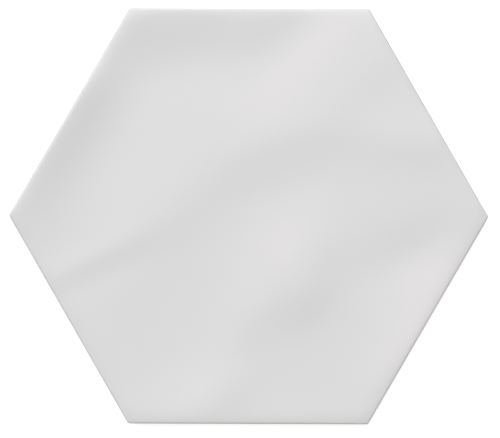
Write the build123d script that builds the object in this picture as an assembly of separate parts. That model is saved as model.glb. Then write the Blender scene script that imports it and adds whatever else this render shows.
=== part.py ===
from build123d import *

import os
from collections import namedtuple
from math import ceil, cos, exp, log1p, radians, sin, sqrt, tan

# A pressed and glazed hexagon wall tile, lying on its back with the glazed face up.
# Origin at the centre of the back, X across two corners, Y across two edges, Z up. Millimetres and degrees.

# Outline
ACROSS_FLATS = 150.0  # between opposite edges
LIP_RADIUS = 0.8  # roll of the glaze over the top edge
CORNER_EXTRA = 0.4  # how much larger a corner's plan radius is than what runs round it

# Section
FACE_HEIGHT = 9.0  # level of the glazed face above the back, before its swells
BELT_BOTTOM = 4.5  # height where the upright band of the edge starts
EDGE_DRAFT = 3.0  # lean of the edge below that band, so that the tile leaves its mould
BACK_BEVEL = 0.5  # bevel round the back

# Cushion: the face bends down towards each edge, level in the field and steepest at the edge
CUSHION_SLOPE = 0.26  # slope that the bend tends to, as fall over run
CUSHION_REACH = 1.6  # distance over which the bend comes in

# Key: shallow honeycomb pockets in the back, which the adhesive grips
KEY_PITCH = 17.0  # between neighbouring pockets
KEY_RIB = 2.0  # rib between two pockets, at the back
KEY_DEPTH = 0.8
KEY_DRAFT = 20.0  # lean of a pocket's walls
KEY_MARGIN = 6.0  # least plain border between a pocket and the edge of the tile

# Waves: long soft swells and hollows of the face. Each is an oval mound with a bell-shaped section.
# x, y: centre. half_length, half_width: reach along and across. turn: lean of the long axis from X.
# rise: height of the mound, below zero for a hollow.
Swell = namedtuple("Swell", "x y half_length half_width turn rise")
SWELLS = {
    "ridge, left part": Swell(-32.0, 2.0, 26.0, 14.0, 34.0, 0.30),
    "ridge, left crest": Swell(-57.0, -15.5, 24.0, 5.0, 26.0, 0.14),
    "ridge, left foot": Swell(-53.0, -22.0, 20.0, 5.0, 26.0, -0.06),
    "ridge, right part": Swell(12.0, 29.0, 26.0, 12.0, 18.0, 0.40),
    "right shoulder": Swell(58.0, 28.0, 20.0, 9.0, -6.0, 0.25),
    "top right crest": Swell(40.0, 52.0, 20.0, 10.0, 40.0, 0.15),
    "top right hollow": Swell(22.0, 70.0, 24.0, 11.0, 42.0, -0.65),
    "top dip": Swell(12.0, 84.0, 18.0, 14.0, 0.0, -0.35),
    "top edge": Swell(-5.0, 79.0, 45.0, 6.0, 0.0, 0.14),
    "upper left edge": Swell(-68.0, 39.0, 40.0, 6.0, 60.0, 0.14),
    "upper left rim": Swell(-72.0, 32.0, 32.0, 12.0, 60.0, 1.40),
    "upper left knuckle": Swell(-59.0, 47.0, 10.0, 9.0, 60.0, 0.36),
    "left corner": Swell(-72.0, 8.0, 14.0, 12.0, 60.0, 0.12),
    "left hollow": Swell(-46.0, 32.0, 26.0, 14.0, 60.0, -0.18),
    "upper left corner": Swell(-38.0, 80.0, 25.0, 18.0, 0.0, 0.55),
    "upper hollow": Swell(-18.0, 56.0, 30.0, 15.0, 4.0, -0.55),
    "middle hollow": Swell(4.0, 8.0, 20.0, 13.0, 40.0, -0.15),
    "middle knoll": Swell(17.0, -18.0, 18.0, 12.0, 54.0, 0.64),
    "knoll brow": Swell(21.0, -29.0, 11.0, 8.0, 54.0, 0.36),
    "knoll foot": Swell(2.0, -36.0, 14.0, 9.0, 58.0, 0.20),
    "lower knoll": Swell(-13.0, -66.0, 16.0, 10.0, 42.0, 0.40),
    "bottom rim": Swell(0.0, -84.0, 40.0, 12.0, 0.0, 0.45),
    "lower left hollow": Swell(-36.0, -52.0, 30.0, 18.0, 60.0, -0.15),
    "right hollow": Swell(60.0, -14.0, 17.0, 10.0, 25.0, -0.40),
    "lower right rim": Swell(66.0, -50.0, 28.0, 14.0, 60.0, 1.00),
}
WAVE_GRID = 2.0  # spacing of the points that carry the face's surface
WAVE_FIT = 0.005  # how closely the surface follows them

# Worked out from the sizes above
APOTHEM = ACROSS_FLATS / 2
CORNER_REACH = ACROSS_FLATS / sqrt(3)  # from the centre to a sharp corner
FOOT_INSET = BELT_BOTTOM * tan(radians(EDGE_DRAFT))  # how far the draft brings the edge in at the back
CORNER_RADIUS = max(LIP_RADIUS, FOOT_INSET + BACK_BEVEL) + CORNER_EXTRA
EDGE_ANGLES = range(30, 360, 60)  # outward directions of the six edges


def swell_height(swell, x, y):
    """Height of one mound at x, y: a bell curve along its long axis times one across it."""
    turn = radians(swell.turn)
    along = (x - swell.x) * cos(turn) + (y - swell.y) * sin(turn)
    across = (y - swell.y) * cos(turn) - (x - swell.x) * sin(turn)
    return swell.rise * exp(-((along / swell.half_length) ** 2) - (across / swell.half_width) ** 2)


def edge_fall(x, y, angle):
    """Fall of the cushion at one edge: nothing in the field, bending smoothly into a straight slope outside."""
    past_edge = (x * cos(radians(angle)) + y * sin(radians(angle)) - APOTHEM) / CUSHION_REACH
    soft_step = max(past_edge, 0) + log1p(exp(-abs(past_edge)))
    return CUSHION_SLOPE * CUSHION_REACH * soft_step


def face_height(x, y):
    """Height of the glazed face: its level, plus every swell, less the fall towards each edge."""
    swells = sum(swell_height(swell, x, y) for swell in SWELLS.values())
    cushion = sum(edge_fall(x, y, angle) for angle in EDGE_ANGLES)
    return FACE_HEIGHT + swells - cushion


def grid_line(half_span):
    """Evenly spaced stations that reach one step past the half span on both sides of the middle."""
    steps = ceil(half_span / WAVE_GRID) + 1
    return [station * WAVE_GRID for station in range(-steps, steps + 1)]


def wavy_face():
    """The glazed face as one smooth surface, a little larger than the tile."""
    rows = [[Vector(x, y, face_height(x, y)) for y in grid_line(APOTHEM)] for x in grid_line(CORNER_REACH)]
    return Face.make_surface_from_array_of_points(rows, tol=WAVE_FIT, max_deg=5)


def tile_plan():
    """The hexagon, with corners rounded just enough for the lip and the back's bevel to run round them."""
    hexagon = RegularPolygon(radius=CORNER_REACH, side_count=6)
    return fillet(hexagon.vertices(), CORNER_RADIUS)


def pressed_body():
    """The tile under its wavy face: an upright band above, a drafted edge below and a rolled lip."""
    plan = Pos(Z=BELT_BOTTOM) * tile_plan()
    band = extrude(plan, amount=2 * FACE_HEIGHT)
    foot = extrude(plan, amount=-BELT_BOTTOM, taper=EDGE_DRAFT)
    under_face = extrude(wavy_face(), amount=-2 * FACE_HEIGHT, dir=(0, 0, 1))
    body = (band + foot) & under_face
    lip = body.faces().sort_by(Axis.Z)[-1].outer_wire().edges()
    body = fillet(lip, LIP_RADIUS)
    back_rim = body.faces().sort_by(Axis.Z)[0].outer_wire().edges()
    return chamfer(back_rim, BACK_BEVEL)


def key_pocket():
    """One six-sided pocket, point towards Y, narrower at its floor than at the back."""
    mouth = RegularPolygon(radius=(KEY_PITCH - KEY_RIB) / 2, side_count=6, major_radius=False, rotation=30)
    return extrude(mouth, amount=KEY_DEPTH, taper=KEY_DRAFT)


def key_places():
    """Centres of a honeycomb of pockets that keep the plain border at the edges."""
    row_step = KEY_PITCH * sqrt(3) / 2
    pocket_reach = (KEY_PITCH - KEY_RIB) / sqrt(3)
    room = APOTHEM - KEY_MARGIN - pocket_reach
    rings = int(room / row_step)
    places = []
    for row in range(-rings, rings + 1):
        count = 2 * rings + 1 - abs(row)
        for column in range(count):
            places.append(Pos((column - (count - 1) / 2) * KEY_PITCH, row * row_step))
    return places


tile = pressed_body() - [place * key_pocket() for place in key_places()]

os.makedirs("parts", exist_ok=True)
export_step(tile, "parts/hexagon_tile.step")
print("pockets:", len(key_places()), "box:", tile.bounding_box())
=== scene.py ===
# %% [markdown]
# # A white glazed hexagon wall tile
# The tile is one pressed, glazed and fired piece. It lies on its back and is seen from straight above.
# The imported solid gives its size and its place. A glossy glaze shows every facet of a coarse mesh as a
# kink in its reflections, so this lesson works out a finer mesh of the same form and puts it there.

import bpy
import numpy as np
from mathutils.geometry import delaunay_2d_cdt
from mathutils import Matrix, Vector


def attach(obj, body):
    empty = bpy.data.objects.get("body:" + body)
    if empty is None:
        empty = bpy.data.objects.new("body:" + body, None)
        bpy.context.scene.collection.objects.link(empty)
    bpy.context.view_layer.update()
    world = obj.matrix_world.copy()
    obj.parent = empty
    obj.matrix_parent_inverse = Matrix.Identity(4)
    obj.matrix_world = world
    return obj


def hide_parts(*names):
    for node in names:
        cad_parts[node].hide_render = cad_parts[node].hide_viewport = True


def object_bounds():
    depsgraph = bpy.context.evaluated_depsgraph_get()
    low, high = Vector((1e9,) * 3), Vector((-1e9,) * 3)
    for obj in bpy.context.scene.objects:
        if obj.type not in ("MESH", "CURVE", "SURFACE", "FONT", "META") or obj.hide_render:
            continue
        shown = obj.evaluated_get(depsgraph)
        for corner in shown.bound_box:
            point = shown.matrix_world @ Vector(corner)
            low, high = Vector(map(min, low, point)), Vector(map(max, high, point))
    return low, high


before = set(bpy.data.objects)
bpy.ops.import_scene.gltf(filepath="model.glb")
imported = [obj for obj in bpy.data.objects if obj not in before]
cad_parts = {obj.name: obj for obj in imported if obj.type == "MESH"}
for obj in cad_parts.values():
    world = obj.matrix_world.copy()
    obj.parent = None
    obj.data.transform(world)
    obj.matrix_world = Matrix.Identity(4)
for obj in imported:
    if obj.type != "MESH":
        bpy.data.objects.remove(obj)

solid_box = [list(corner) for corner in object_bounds()]
print("solid tile, corners of its box in metres:", solid_box)

# %% [markdown]
# ## Sizes
# The distance across the flats comes from the solid. The other sizes are those of a pressed wall tile:
# a rolled lip, an upright band that meets the grout, a drafted foot, and a shallow honeycomb behind.

# %% Sizes of the tile
MM = 0.001
APOTHEM = solid_box[1][1]  # from the centre to the middle of an edge
LIP_RADIUS = 0.8 * MM
CORNER_RADIUS = 1.2 * MM
FACE_HEIGHT = 9.0 * MM
BELT_BOTTOM = 4.5 * MM
EDGE_DRAFT = np.radians(3.0)
BACK_BEVEL = 0.5 * MM
CUSHION_SLOPE = 0.26
CUSHION_REACH = 1.6 * MM
EDGE_TURNS = np.radians(np.arange(30, 360, 60))
print("across flats, mm:", round(2 * APOTHEM / MM, 3))

# %% [markdown]
# ## The waves of the face
# The face is not flat: long soft swells and hollows catch the light like those of a hand-made tile.
# Noise would give waves, but not these ones. A short list of oval mounds, each placed where the light
# shows it, can follow the real face and stays easy to change.

# %% The swells and hollows
# Each: centre x and y, half length, half width (mm), turn of the long axis (degrees), rise (mm)
SWELLS = {
    "ridge, left part": (-32, 2, 26, 14, 34, 0.30),
    "ridge, left crest": (-57, -15.5, 24, 5, 26, 0.14),
    "ridge, left foot": (-53, -22, 20, 5, 26, -0.06),
    "ridge, right part": (12, 29, 26, 12, 18, 0.40),
    "right shoulder": (58, 28, 20, 9, -6, 0.25),
    "top right crest": (40, 52, 20, 10, 40, 0.15),
    "top right hollow": (22, 70, 24, 11, 42, -0.65),
    "top dip": (12, 84, 18, 14, 0, -0.35),
    "top edge": (-5, 79, 45, 6, 0, 0.14),
    "upper left edge": (-68, 39, 40, 6, 60, 0.14),
    "upper left rim": (-72, 32, 32, 12, 60, 1.40),
    "upper left knuckle": (-59, 47, 10, 9, 60, 0.36),
    "left corner": (-72, 8, 14, 12, 60, 0.12),
    "left hollow": (-46, 32, 26, 14, 60, -0.18),
    "upper left corner": (-38, 80, 25, 18, 0, 0.55),
    "upper hollow": (-18, 56, 30, 15, 4, -0.55),
    "middle hollow": (4, 8, 20, 13, 40, -0.15),
    "middle knoll": (17, -18, 18, 12, 54, 0.64),
    "knoll brow": (21, -29, 11, 8, 54, 0.36),
    "knoll foot": (2, -36, 14, 9, 58, 0.20),
    "lower knoll": (-13, -66, 16, 10, 42, 0.40),
    "bottom rim": (0, -84, 40, 12, 0, 0.45),
    "lower left hollow": (-36, -52, 30, 18, 60, -0.15),
    "right hollow": (60, -14, 17, 10, 25, -0.40),
    "lower right rim": (66, -50, 28, 14, 60, 1.00),
}


def swell_height(xy):
    """Height of the swells at an array of points: a bell-shaped mound for each of them, its rise times
    exp of minus the squared distances along and across it, in half lengths and half widths."""
    x, y = xy[..., 0] / MM, xy[..., 1] / MM
    height = np.zeros(x.shape)
    for centre_x, centre_y, half_length, half_width, turn, rise in SWELLS.values():
        cos_turn, sin_turn = np.cos(np.radians(turn)), np.sin(np.radians(turn))
        along = ((x - centre_x) * cos_turn + (y - centre_y) * sin_turn) / half_length
        across = ((y - centre_y) * cos_turn - (x - centre_x) * sin_turn) / half_width
        height += rise * MM * np.exp(-(along**2) - across**2)
    return height


def face_height(xy):
    """Height of the face at an array of points: its level and its swells, less the soft fall
    log(1 + exp(t)) towards each edge, where t is the distance past that edge in reaches."""
    past_edge = (xy @ np.array([np.cos(EDGE_TURNS), np.sin(EDGE_TURNS)]) - APOTHEM) / CUSHION_REACH
    fall = CUSHION_SLOPE * CUSHION_REACH * np.logaddexp(0, past_edge).sum(axis=-1)
    return FACE_HEIGHT + swell_height(xy) - fall


print("face at the centre, mm:", round(float(face_height(np.zeros(2))) / MM, 3))

# %% [markdown]
# ## The path round the tile
# Below the lip, the edge has the same section all the way round, so it can be a profile carried along a path.
# The path is a sharp hexagon, the spine, with an outward direction at each point. Going out from the spine
# by the corner radius gives the outline with rounded corners; going out by less gives a line inside it.


# %% The path
def hexagon_path(apothem, corner_radius, edge_steps, corner_steps, first_corner=0.0):
    """Spine points and outward directions, anticlockwise. At a corner the direction turns by 60 degrees
    while the spine stands still; along an edge the spine moves while the direction stands still."""
    turn = np.concatenate([np.linspace(-30, 30, corner_steps + 1), np.full(edge_steps - 1, 30)])
    share = np.concatenate([np.zeros(corner_steps + 1), np.arange(1, edge_steps) / edge_steps])
    sector = first_corner + 60 * np.arange(6)[:, None]
    outward = np.radians(sector + turn)
    outward = np.stack([np.cos(outward), np.sin(outward)], axis=-1).reshape(-1, 2)
    corner = np.radians(first_corner + 60 * np.arange(7))
    reach = (apothem - corner_radius) * 2 / np.sqrt(3)
    corner = np.stack([np.cos(corner), np.sin(corner)], axis=-1) * reach
    spine = corner[:-1, None] + (corner[1:] - corner[:-1])[:, None] * share[:, None]
    return spine.reshape(-1, 2), outward


def soften(profile, rounding, steps=3):
    """A profile of (inset, height) corners with each inner corner C replaced by a small curve: the parabola
    (1-t)^2 A + 2t(1-t) C + t^2 B, where A and B lie the rounding's length before and after C.
    The first and the last corner only give directions and are left out."""
    profile = np.array(profile, dtype=float)
    before, corner, after = profile[:-2], profile[1:-1], profile[2:]
    start = corner + (before - corner) / np.linalg.norm(before - corner, axis=1)[:, None] * rounding
    end = corner + (after - corner) / np.linalg.norm(after - corner, axis=1)[:, None] * rounding
    t = np.linspace(0, 1, steps + 1)[:, None]
    curves = (1 - t) ** 2 * start[:, None] + 2 * t * (1 - t) * corner[:, None] + t**2 * end[:, None]
    return curves.reshape(-1, 2)


rim_spine, rim_outward = hexagon_path(APOTHEM, CORNER_RADIUS, edge_steps=64, corner_steps=8)
COLUMNS = len(rim_spine)
print("columns round the tile:", COLUMNS)

# %% [markdown]
# ## Face, lip and edge
# The rings of the face are copies of the rim drawn in towards the centre, close together near the rim,
# where the face bends down, and wider apart in the field. The lip is an arc that starts along the slope of
# the face at that place, so that no crease shows between them, and ends upright.

# %% Face rings
FACE_RINGS = 64
RING_GROWTH = 1.6  # the middle rings are exp(1.6) times as far apart as those at the rim
LIP_RINGS = 8
SLOPE_RUN = 0.3 * MM  # distance over which the fall of the face is read at the lip

lip_core = rim_spine + (CORNER_RADIUS - LIP_RADIUS) * rim_outward  # middle line of the lip's arc
fall = (face_height(lip_core) - face_height(lip_core + SLOPE_RUN * rim_outward)) / SLOPE_RUN
lip_start = np.pi / 2 - np.arctan(fall)  # angle of the arc where it leaves the face
lip_rim = lip_core + LIP_RADIUS * np.cos(lip_start)[:, None] * rim_outward
lip_level = face_height(lip_rim) - LIP_RADIUS * np.sin(lip_start)  # height where the lip ends upright

step = np.linspace(1, 0, FACE_RINGS + 1)[1:]
inset = np.expm1(RING_GROWTH * step) / np.expm1(RING_GROWTH)
face_xy = (1 - inset)[:, None, None] * lip_rim
face_rings = np.concatenate([face_xy, face_height(face_xy)[..., None]], axis=-1)
centre_point = np.array([[0, 0, face_height(np.zeros(2))]])
face_range = face_rings[..., 2].min() / MM, face_rings[..., 2].max() / MM
print("face rings:", FACE_RINGS, "at heights, mm:", np.round(face_range, 2))

# %% Lip and edge rings
ROUNDING = 0.2 * MM  # of the corners of the edge's section and of the pockets

turn = lip_start * np.linspace(1, 0, LIP_RINGS + 1)[1:, None]
lip_xy = lip_core + LIP_RADIUS * np.cos(turn)[..., None] * rim_outward
lip_rings = np.concatenate([lip_xy, (lip_level + LIP_RADIUS * np.sin(turn))[..., None]], axis=-1)

draft_inset = BELT_BOTTOM * np.tan(EDGE_DRAFT)
edge_profile = soften(
    [
        (0, FACE_HEIGHT),
        (0, BELT_BOTTOM),
        (draft_inset - BACK_BEVEL * np.sin(EDGE_DRAFT), BACK_BEVEL * np.cos(EDGE_DRAFT)),
        (draft_inset + BACK_BEVEL, 0),
        (draft_inset + 2 * BACK_BEVEL, 0),
    ],
    ROUNDING,
)


def carry(profile, spine, outward, corner_radius):
    """Carries a profile of (inset, height) points round a path: one ring of points for each of them."""
    flat = spine + (corner_radius - profile[:, 0])[:, None, None] * outward
    height = np.broadcast_to(profile[:, 1][:, None, None], flat.shape[:2] + (1,))
    return np.concatenate([flat, height], axis=-1)


edge_rings = carry(edge_profile, rim_spine, rim_outward, CORNER_RADIUS)
lip_range = lip_level.min() / MM, lip_level.max() / MM
print("lip ends at heights, mm:", np.round(lip_range, 2), "edge rings:", len(edge_rings))

# %% [markdown]
# ## The back
# Adhesive grips the shallow honeycomb pressed into the back. One pocket is again a profile carried round
# a small hexagon, and the others are copies of it on a lattice. The flat land between them has holes,
# which no grid fits, so Blender's own triangulation fills it between the loops that are already there.

# %% Pockets of the key
KEY_PITCH = 17.0 * MM
KEY_RIB = 2.0 * MM
KEY_DEPTH = 0.8 * MM
KEY_DRAFT = np.radians(20.0)
KEY_CORNER = 1.0 * MM
KEY_RINGS = 4  # rings of pockets round the middle one

pocket_spine, pocket_outward = hexagon_path(
    (KEY_PITCH - KEY_RIB) / 2, KEY_CORNER, edge_steps=4, corner_steps=3, first_corner=30.0
)
wall_inset = KEY_DEPTH * np.tan(KEY_DRAFT)
pocket_profile = soften(
    [(-KEY_RIB, 0), (0, 0), (wall_inset, KEY_DEPTH), (wall_inset + KEY_RIB, KEY_DEPTH)], ROUNDING
)
pocket_rings = carry(pocket_profile, pocket_spine, pocket_outward, KEY_CORNER)

row, column = np.mgrid[-KEY_RINGS : KEY_RINGS + 1, -KEY_RINGS : KEY_RINGS + 1]
inside = np.abs(row + column) <= KEY_RINGS
key_centres = np.stack([(column + row / 2) * KEY_PITCH, row * KEY_PITCH * np.sqrt(3) / 2], axis=-1)[inside]
key_centres = np.concatenate([key_centres, np.zeros((len(key_centres), 1))], axis=1)
pockets = key_centres[:, None, None] + pocket_rings
floors = key_centres + np.array([0, 0, KEY_DEPTH])
print("pockets:", len(key_centres), "of", pocket_rings.shape[0] * pocket_rings.shape[1], "points")

# %% [markdown]
# ## One closed mesh
# The rings are joined by quads, the centre and each pocket's floor by a fan of triangles, and the land by
# the triangulation. Every piece uses the same points as its neighbour, so the mesh is closed like the clay.


# %% Faces
def ring_quads(index):
    """Quads between successive rings of point numbers: (ring, place), out, along, back."""
    near, far = index[:-1], index[1:]
    near_next, far_next = np.roll(near, -1, axis=1), np.roll(far, -1, axis=1)
    return np.stack([near, far, far_next, near_next], axis=-1).reshape(-1, 4)


def fan(middle, ring):
    """Triangles from a middle point to each step of a ring."""
    middle = np.broadcast_to(middle, ring.shape)
    return np.stack([middle, ring, np.roll(ring, -1, axis=-1)], axis=-1).reshape(-1, 3)


outer_rings = np.concatenate([face_rings, lip_rings, edge_rings])
points = np.concatenate([centre_point, outer_rings.reshape(-1, 3), pockets.reshape(-1, 3), floors])
outer_index = 1 + np.arange(outer_rings.size // 3).reshape(outer_rings.shape[:2])
pocket_index = outer_index.max() + 1 + np.arange(pockets.size // 3).reshape(pockets.shape[:3])
floor_index = pocket_index.max() + 1 + np.arange(len(floors))

pocket_quads = np.concatenate([ring_quads(rings) for rings in pocket_index])
floor_fans = fan(floor_index[:, None], pocket_index[:, -1])[:, ::-1]
print("points:", len(points), "faces of the pockets:", len(pocket_quads) + len(floor_fans))

# %% Land between the pockets
INSIDE_LOOPS = 1  # kind of triangulation: only inside the outermost loop
SAME_POINT = 1e-9

loops = [outer_index[-1], *pocket_index[:, 0]]
loop_sizes = [len(loop) for loop in loops]
land_points = np.concatenate(loops)
owner = np.repeat(np.arange(len(loops)), loop_sizes)
here = np.arange(len(land_points))
loop_starts = np.cumsum(loop_sizes) - loop_sizes
after = np.where(here + 1 < (loop_starts + loop_sizes)[owner], here + 1, loop_starts[owner])
loop_edges = np.stack([here, after], axis=1)
made = delaunay_2d_cdt(points[land_points, :2].tolist(), loop_edges.tolist(), [], INSIDE_LOOPS, SAME_POINT)
source = np.array([origin[0] for origin in made[3]])
land = source[np.array(made[2])]
of_loop = owner[land]
in_pocket = (of_loop[:, 0] > 0) & (of_loop[:, 0] == of_loop[:, 1]) & (of_loop[:, 0] == of_loop[:, 2])
land = land_points[land[~in_pocket]][:, ::-1]
print("land triangles:", len(land), "new points made:", len(made[0]) - len(land_points))

# %% Build the tile
GLAZED, EDGE, BISCUIT = range(3)
glaze_rows = FACE_RINGS + LIP_RINGS
outer_quads = ring_quads(outer_index)
groups = [
    (fan(0, outer_index[0]), GLAZED),
    (outer_quads[: glaze_rows * COLUMNS - COLUMNS], GLAZED),
    (outer_quads[glaze_rows * COLUMNS - COLUMNS :], EDGE),
    (pocket_quads, BISCUIT),
    (floor_fans, BISCUIT),
    (land, BISCUIT),
]
mesh = bpy.data.meshes.new("glazed_hexagon_tile")
mesh.from_pydata(points.tolist(), [], [corners for faces, _ in groups for corners in faces.tolist()])
finish_of_face = np.concatenate([np.full(len(faces), finish) for faces, finish in groups])
mesh.polygons.foreach_set("material_index", finish_of_face.astype(np.int32))
mesh.shade_smooth()
mesh.validate(verbose=True)

tile = bpy.data.objects.new("glazed_hexagon_tile", mesh)
bpy.context.scene.collection.objects.link(tile)
mesh.calc_loop_triangles()
print("tile:", len(mesh.vertices), "points,", len(mesh.loop_triangles), "triangles")

# %% [markdown]
# ## Painted light tint
# Slopes of the face that turn towards the lamps get a faint warm tint painted into the glaze's colour:
# painted light that is hardly seen. It follows the slope of the face, which a texture does not know, so it
# is worked out here and kept with the points of the mesh.

# %% Painted light tint of the glaze
PAINTED_LIGHT_TURN = np.radians(116.0)  # direction, in plan, towards the lamps; the slopes that face it get the painted light tint
PAINTED_LIGHT_FROM, PAINTED_LIGHT_FULL = 0.008, 0.043  # slopes at which the painted light tint begins and is complete

# Painted light: the more steeply a point's face turns towards the lamps, the stronger its warm tint.
toward_light = np.array([np.cos(PAINTED_LIGHT_TURN), np.sin(PAINTED_LIGHT_TURN)]) * MM
slope_to_light = (swell_height(points[:, :2] - toward_light) - swell_height(points[:, :2] + toward_light)) / (2 * MM)
painted_light_tint = np.clip((slope_to_light - PAINTED_LIGHT_FROM) / (PAINTED_LIGHT_FULL - PAINTED_LIGHT_FROM), 0, 1)
painted_light_layer = mesh.attributes.new("painted_light_tint", "FLOAT", "POINT")
painted_light_layer.data.foreach_set("value", painted_light_tint.astype(np.float32))
print("blush, mean over the points:", round(float(painted_light_tint.mean()), 3))

# %% [markdown]
# ## Finishes
# Two looks cover the tile. The glaze is a thick white glass, satin bright, with a faint warm tint of painted
# light on the slopes that face the lamps, a slow ripple and one pinhole. The biscuit is the bare fired clay
# of the back, whose ribs keep a pale wash from the kiln shelf. On the edges the glaze runs out over the
# biscuit.
# Each look is a node group, so the edge can mix the same two that the face and the back use.


# %% Node helpers
def node(tree, kind, inputs=None, **settings):
    """Adds a shader node, sets its properties and fills each input with a value or a link."""
    made_node = tree.nodes.new("ShaderNode" + kind)
    for name, value in settings.items():
        setattr(made_node, name, value)
    for name, value in (inputs or {}).items():
        if isinstance(value, bpy.types.NodeSocket):
            tree.links.new(value, made_node.inputs[name])
        else:
            made_node.inputs[name].default_value = value
    return made_node


def noise(tree, position, size, detail=2.0, roughness=0.5):
    """Noise with features of about this size in metres, as a value from 0 to 1."""
    return node(
        tree, "TexNoise", {"Vector": position, "Scale": 1 / size, "Detail": detail, "Roughness": roughness}
    ).outputs["Fac"]


def spread(tree, value, low, high, to_low=0.0, to_high=1.0):
    """Maps a value from one range to another, held at both ends."""
    ranges = {"From Min": low, "From Max": high, "To Min": to_low, "To Max": to_high}
    return node(tree, "MapRange", {"Value": value, **ranges}).outputs["Result"]


def worked(tree, first_value, second_value, operation="ADD"):
    """One step of arithmetic on two values."""
    return node(tree, "Math", {0: first_value, 1: second_value}, operation=operation).outputs["Value"]


def mixed(tree, share, first_colour, second_colour):
    """A colour between two others."""
    return node(tree, "Mix", {0: share, 6: first_colour, 7: second_colour}, data_type="RGBA").outputs[2]


def look_group(name):
    """A node group that turns a position on the tile into a colour, a roughness and a height in metres."""
    tree = bpy.data.node_groups.new(name, "ShaderNodeTree")
    tree.interface.new_socket("Position", in_out="INPUT", socket_type="NodeSocketVector")
    tree.interface.new_socket("Color", in_out="OUTPUT", socket_type="NodeSocketColor")
    tree.interface.new_socket("Roughness", in_out="OUTPUT", socket_type="NodeSocketFloat")
    tree.interface.new_socket("Height", in_out="OUTPUT", socket_type="NodeSocketFloat")
    position = tree.nodes.new("NodeGroupInput").outputs["Position"]
    return tree, position, tree.nodes.new("NodeGroupOutput").inputs


# %% Glaze
COMMON = 0.3, 0.7  # range that holds most of a noise's values
GLAZE_WHITE = (0.692, 0.692, 0.693, 1)
# colour of the painted light: a faint warm tint for the slopes that face the lamps
PAINTED_LIGHT_COLOUR = (0.695, 0.680, 0.684, 1)
GLAZE_ROUGHNESS = 0.20, 0.26
SHINE_SIZE = 25 * MM
RIPPLE_SIZE, RIPPLE_HEIGHT = 9 * MM, 0.02 * MM
PINHOLE_COLOUR = (0.66, 0.655, 0.65, 1)
PINHOLE_RADIUS, PINHOLE_DEPTH = 0.3 * MM, 0.01 * MM
PINHOLE_PLACE = np.array([16.0, 42.7]) * MM

glaze_look, position, look_out = look_group("glaze look")
# Painted light: the glaze's white is mixed with a warm tint where the slopes face the lamps.
painted_light_share = node(glaze_look, "Attribute", attribute_name="painted_light_tint").outputs["Fac"]
colour = mixed(glaze_look, painted_light_share, GLAZE_WHITE, PAINTED_LIGHT_COLOUR)
pinhole_at = (*PINHOLE_PLACE, face_height(PINHOLE_PLACE))
away = node(glaze_look, "VectorMath", {0: position, 1: pinhole_at}, operation="DISTANCE").outputs["Value"]
pinhole = spread(glaze_look, away, PINHOLE_RADIUS, 2 * PINHOLE_RADIUS, 1, 0)
ripple = worked(glaze_look, noise(glaze_look, position, RIPPLE_SIZE), RIPPLE_HEIGHT, "MULTIPLY")
pit = worked(glaze_look, pinhole, PINHOLE_DEPTH, "MULTIPLY")
shine = spread(glaze_look, noise(glaze_look, position, SHINE_SIZE, detail=4), *COMMON, *GLAZE_ROUGHNESS)
glaze_look.links.new(mixed(glaze_look, pinhole, colour, PINHOLE_COLOUR), look_out["Color"])
glaze_look.links.new(shine, look_out["Roughness"])
glaze_look.links.new(worked(glaze_look, ripple, pit, "SUBTRACT"), look_out["Height"])
print("glaze look:", len(glaze_look.nodes), "nodes")

# %% Biscuit
BISCUIT_PALE = (0.72, 0.66, 0.57, 1)
BISCUIT_DEEP = (0.62, 0.55, 0.45, 1)
BISCUIT_FLECK = (0.42, 0.33, 0.24, 1)
BISCUIT_ROUGHNESS = 0.82, 0.95
PATCH_SIZE, FLECK_SIZE = 14 * MM, 0.9 * MM
GRAIN_SIZE, GRAIN_HEIGHT = 0.45 * MM, 0.06 * MM
KILN_WASH = (0.84, 0.82, 0.78, 1)
WASH_SHARE = 0.7
WASH_FULL, WASH_END = 0.1 * MM, 0.6 * MM  # heights above the back between which the wash fades
WASH_SIZE = 5 * MM

biscuit_look, position, look_out = look_group("biscuit look")
patches = spread(biscuit_look, noise(biscuit_look, position, PATCH_SIZE, detail=5, roughness=0.6), 0.35, 0.65)
colour = mixed(biscuit_look, patches, BISCUIT_DEEP, BISCUIT_PALE)
level = node(biscuit_look, "SeparateXYZ", {"Vector": position}).outputs["Z"]
ragged = spread(biscuit_look, noise(biscuit_look, position, WASH_SIZE, detail=4), *COMMON, 0, WASH_END)
wash = spread(biscuit_look, worked(biscuit_look, level, ragged), WASH_FULL, WASH_END, WASH_SHARE, 0)
colour = mixed(biscuit_look, wash, colour, KILN_WASH)
flecks = spread(biscuit_look, noise(biscuit_look, position, FLECK_SIZE, detail=1), 0.70, 0.76)
grain = noise(biscuit_look, position, GRAIN_SIZE, detail=3, roughness=0.65)
biscuit_look.links.new(mixed(biscuit_look, flecks, colour, BISCUIT_FLECK), look_out["Color"])
biscuit_look.links.new(spread(biscuit_look, grain, *COMMON, *BISCUIT_ROUGHNESS), look_out["Roughness"])
biscuit_look.links.new(worked(biscuit_look, grain, GRAIN_HEIGHT, "MULTIPLY"), look_out["Height"])
print("biscuit look:", len(biscuit_look.nodes), "nodes")


# %% Materials
def fired(name):
    """A material with a position on the piece, ready for its looks."""
    material = bpy.data.materials.new(name)
    material.use_nodes = True
    tree = material.node_tree
    position = tree.nodes.new("ShaderNodeTexCoord").outputs["Object"]
    return material, tree, position, tree.nodes["Principled BSDF"]


def placed(tree, look, position):
    """Places a look in a material."""
    made_node = node(tree, "Group", node_tree=look)
    tree.links.new(position, made_node.inputs["Position"])
    return made_node.outputs


def dress(tree, shader, colour, roughness, height):
    """Feeds a colour, a roughness and a relief in metres to the shader."""
    tree.links.new(colour, shader.inputs["Base Color"])
    tree.links.new(roughness, shader.inputs["Roughness"])
    bump = node(tree, "Bump", {"Height": height, "Distance": 1.0, "Strength": 1.0})
    tree.links.new(bump.outputs["Normal"], shader.inputs["Normal"])


GLAZE_IOR = 1.55

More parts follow.
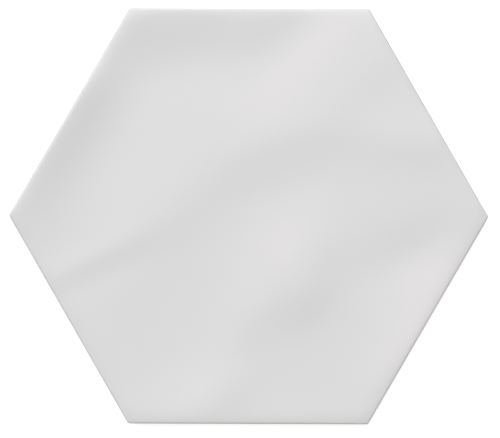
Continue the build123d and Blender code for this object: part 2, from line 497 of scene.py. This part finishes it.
glaze_material, tree, position, shader = fired("white_glaze")
shader.inputs["IOR"].default_value = GLAZE_IOR
glaze = placed(tree, glaze_look, position)
dress(tree, shader, glaze["Color"], glaze["Roughness"], glaze["Height"])

biscuit_material, tree, position, shader = fired("bare_biscuit")
biscuit = placed(tree, biscuit_look, position)
dress(tree, shader, biscuit["Color"], biscuit["Roughness"], biscuit["Height"])

# %% Where the glaze runs out
RUN_OUT = 4.0 * MM, 4.6 * MM  # heights between which the glaze thins to nothing
WANDER, WANDER_SIZE = 1.4 * MM, 11 * MM  # how far that line strays up and down, and how quickly
GLAZE_THICKNESS = 0.15 * MM

edge_material, tree, position, shader = fired("glaze_running_out")
shader.inputs["IOR"].default_value = GLAZE_IOR
glaze = placed(tree, glaze_look, position)
biscuit = placed(tree, biscuit_look, position)
level = node(tree, "SeparateXYZ", {"Vector": position}).outputs["Z"]
wander = spread(tree, noise(tree, position, WANDER_SIZE, detail=4), *COMMON, -WANDER, WANDER)
glazed = spread(tree, worked(tree, level, wander), *RUN_OUT)
glaze_top = worked(tree, glaze["Height"], GLAZE_THICKNESS)
dress(
    tree,
    shader,
    mixed(tree, glazed, biscuit["Color"], glaze["Color"]),
    node(tree, "Mix", {0: glazed, 2: biscuit["Roughness"], 3: glaze["Roughness"]}).outputs[0],
    node(tree, "Mix", {0: glazed, 2: biscuit["Height"], 3: glaze_top}).outputs[0],
)

for material in (glaze_material, edge_material, biscuit_material):
    mesh.materials.append(material)
print("finishes:", [material.name for material in mesh.materials])

# %% Join the tile to the frame
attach(tile, "root")
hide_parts("hexagon_tile")
print("the tile rides on the root and stands in for the solid node")

# %% [markdown]
# ## Floor
# The photo's ground is pure white. The floor is a white sheet. For the camera and for reflections it adds
# light of its own, so that it shows as white while the tile's soft shadow still darkens it.

# %% White floor
FLOOR_HALF = 3.0
FLOOR_DROP = 0.05 * MM  # below the tile's back, so that the two never lie in one plane
FLOOR_WHITE = (0.8, 0.8, 0.8, 1)
FLOOR_ROUGHNESS = 0.9
CAMERA_GLOW = 0.70
MIRRORED_GLOW = 0.25

floor_mesh = bpy.data.meshes.new("white_floor")
floor_corners = FLOOR_HALF * np.array([(-1, -1), (1, -1), (1, 1), (-1, 1)])
floor_mesh.from_pydata([(x, y, -FLOOR_DROP) for x, y in floor_corners], [], [(0, 1, 2, 3)])
floor = bpy.data.objects.new("white_floor", floor_mesh)
bpy.context.scene.collection.objects.link(floor)


def seen_directly(tree):
    """1 for camera, glossy and transmission rays, 0 for the diffuse light that falls on the tile."""
    path = node(tree, "LightPath").outputs
    direct = worked(tree, path["Is Camera Ray"], path["Is Glossy Ray"], "MAXIMUM")
    return worked(tree, direct, path["Is Transmission Ray"], "MAXIMUM")


floor_material = bpy.data.materials.new("white_floor")
floor_material.use_nodes = True
tree = floor_material.node_tree
shader = tree.nodes["Principled BSDF"]
shader.inputs["Base Color"].default_value = FLOOR_WHITE
shader.inputs["Roughness"].default_value = FLOOR_ROUGHNESS
shader.inputs["Specular IOR Level"].default_value = 0.0
shader.inputs["Emission Color"].default_value = (1, 1, 1, 1)
mirrored = spread(tree, seen_directly(tree), 0, 1, 0, MIRRORED_GLOW)
glow = worked(tree, node(tree, "LightPath").outputs["Is Camera Ray"], CAMERA_GLOW, "MULTIPLY")
tree.links.new(worked(tree, glow, mirrored, "MAXIMUM"), shader.inputs["Emission Strength"])
floor_mesh.materials.append(floor_material)
print("floor:", 2 * FLOOR_HALF, "m square")

# %% [markdown]
# ## Light
# The light comes from the upper left. A low lamp rakes over the waves and brightens the lips that face it.
# A wide lamp overhead ends almost straight above the tile, so a slope of a few degrees decides whether the
# glaze mirrors it or the duller surround. Both are far away, so that they light the whole tile evenly.

# %% Lamps and surround
LIGHT_TURN = np.radians(113.0)  # direction of the light in plan, from X
SURROUND_STRENGTH = 0.30


def far_lamp(name, from_zenith, width, share):
    """A distant round lamp. Its strength gives a level white surface this share of its full brightness."""
    lamp = bpy.data.lights.new(name, "SUN")
    lamp.angle = np.radians(width)
    lamp.energy = share * np.pi / np.cos(np.radians(from_zenith))
    lamp_object = bpy.data.objects.new(name, lamp)
    lamp_object.rotation_euler = (0, np.radians(from_zenith), LIGHT_TURN)
    bpy.context.scene.collection.objects.link(lamp_object)
    print(name, "strength:", round(float(lamp.energy), 3))


far_lamp("raking_lamp", from_zenith=50.0, width=90.0, share=0.34)
far_lamp("overhead_lamp", from_zenith=27.0, width=56.0, share=0.30)

world = bpy.data.worlds.new("white_surround")
bpy.context.scene.world = world
world.use_nodes = True
tree = world.node_tree
strength = spread(tree, seen_directly(tree), 0, 1, SURROUND_STRENGTH, 1)
tree.links.new(strength, tree.nodes["Background"].inputs["Strength"])
tree.nodes["Background"].inputs["Color"].default_value = (1, 1, 1, 1)

# %% [markdown]
# ## Camera
# The photo is taken square on: its six edges are almost equally long. The lens is long, so that the tile
# keeps that shape and its sides stay hidden. The hexagon's place and tiny turn in the picture set where
# the camera hangs.

# %% Camera above the tile
PICTURE_WIDTH, PICTURE_HEIGHT = 500, 438
HEXAGON_X, HEXAGON_Y = 248.64, 216.10  # centre of the hexagon in the picture, pixels
HEXAGON_REACH = 239.97  # from its centre to a corner, pixels
HEXAGON_TURN = np.radians(0.2)  # clockwise in the picture
LENS = 800.0
SENSOR = 36.0

metres_per_pixel = APOTHEM * 2 / np.sqrt(3) / HEXAGON_REACH
distance = metres_per_pixel * PICTURE_WIDTH * LENS / SENSOR
camera_data = bpy.data.cameras.new("camera")
camera_data.lens = LENS
camera_data.sensor_width = SENSOR
camera = bpy.data.objects.new("camera", camera_data)
camera.rotation_euler = (0, 0, HEXAGON_TURN)
right = metres_per_pixel * (PICTURE_WIDTH / 2 - HEXAGON_X)
up = metres_per_pixel * (HEXAGON_Y - PICTURE_HEIGHT / 2)
camera.location = (
    right * np.cos(HEXAGON_TURN) - up * np.sin(HEXAGON_TURN),
    right * np.sin(HEXAGON_TURN) + up * np.cos(HEXAGON_TURN),
    float(lip_level.mean()) + distance,
)
bpy.context.scene.collection.objects.link(camera)
bpy.context.scene.camera = camera
bpy.context.scene.view_settings.view_transform = "Standard"
print("camera hangs", round(distance, 3), "m above the rim")
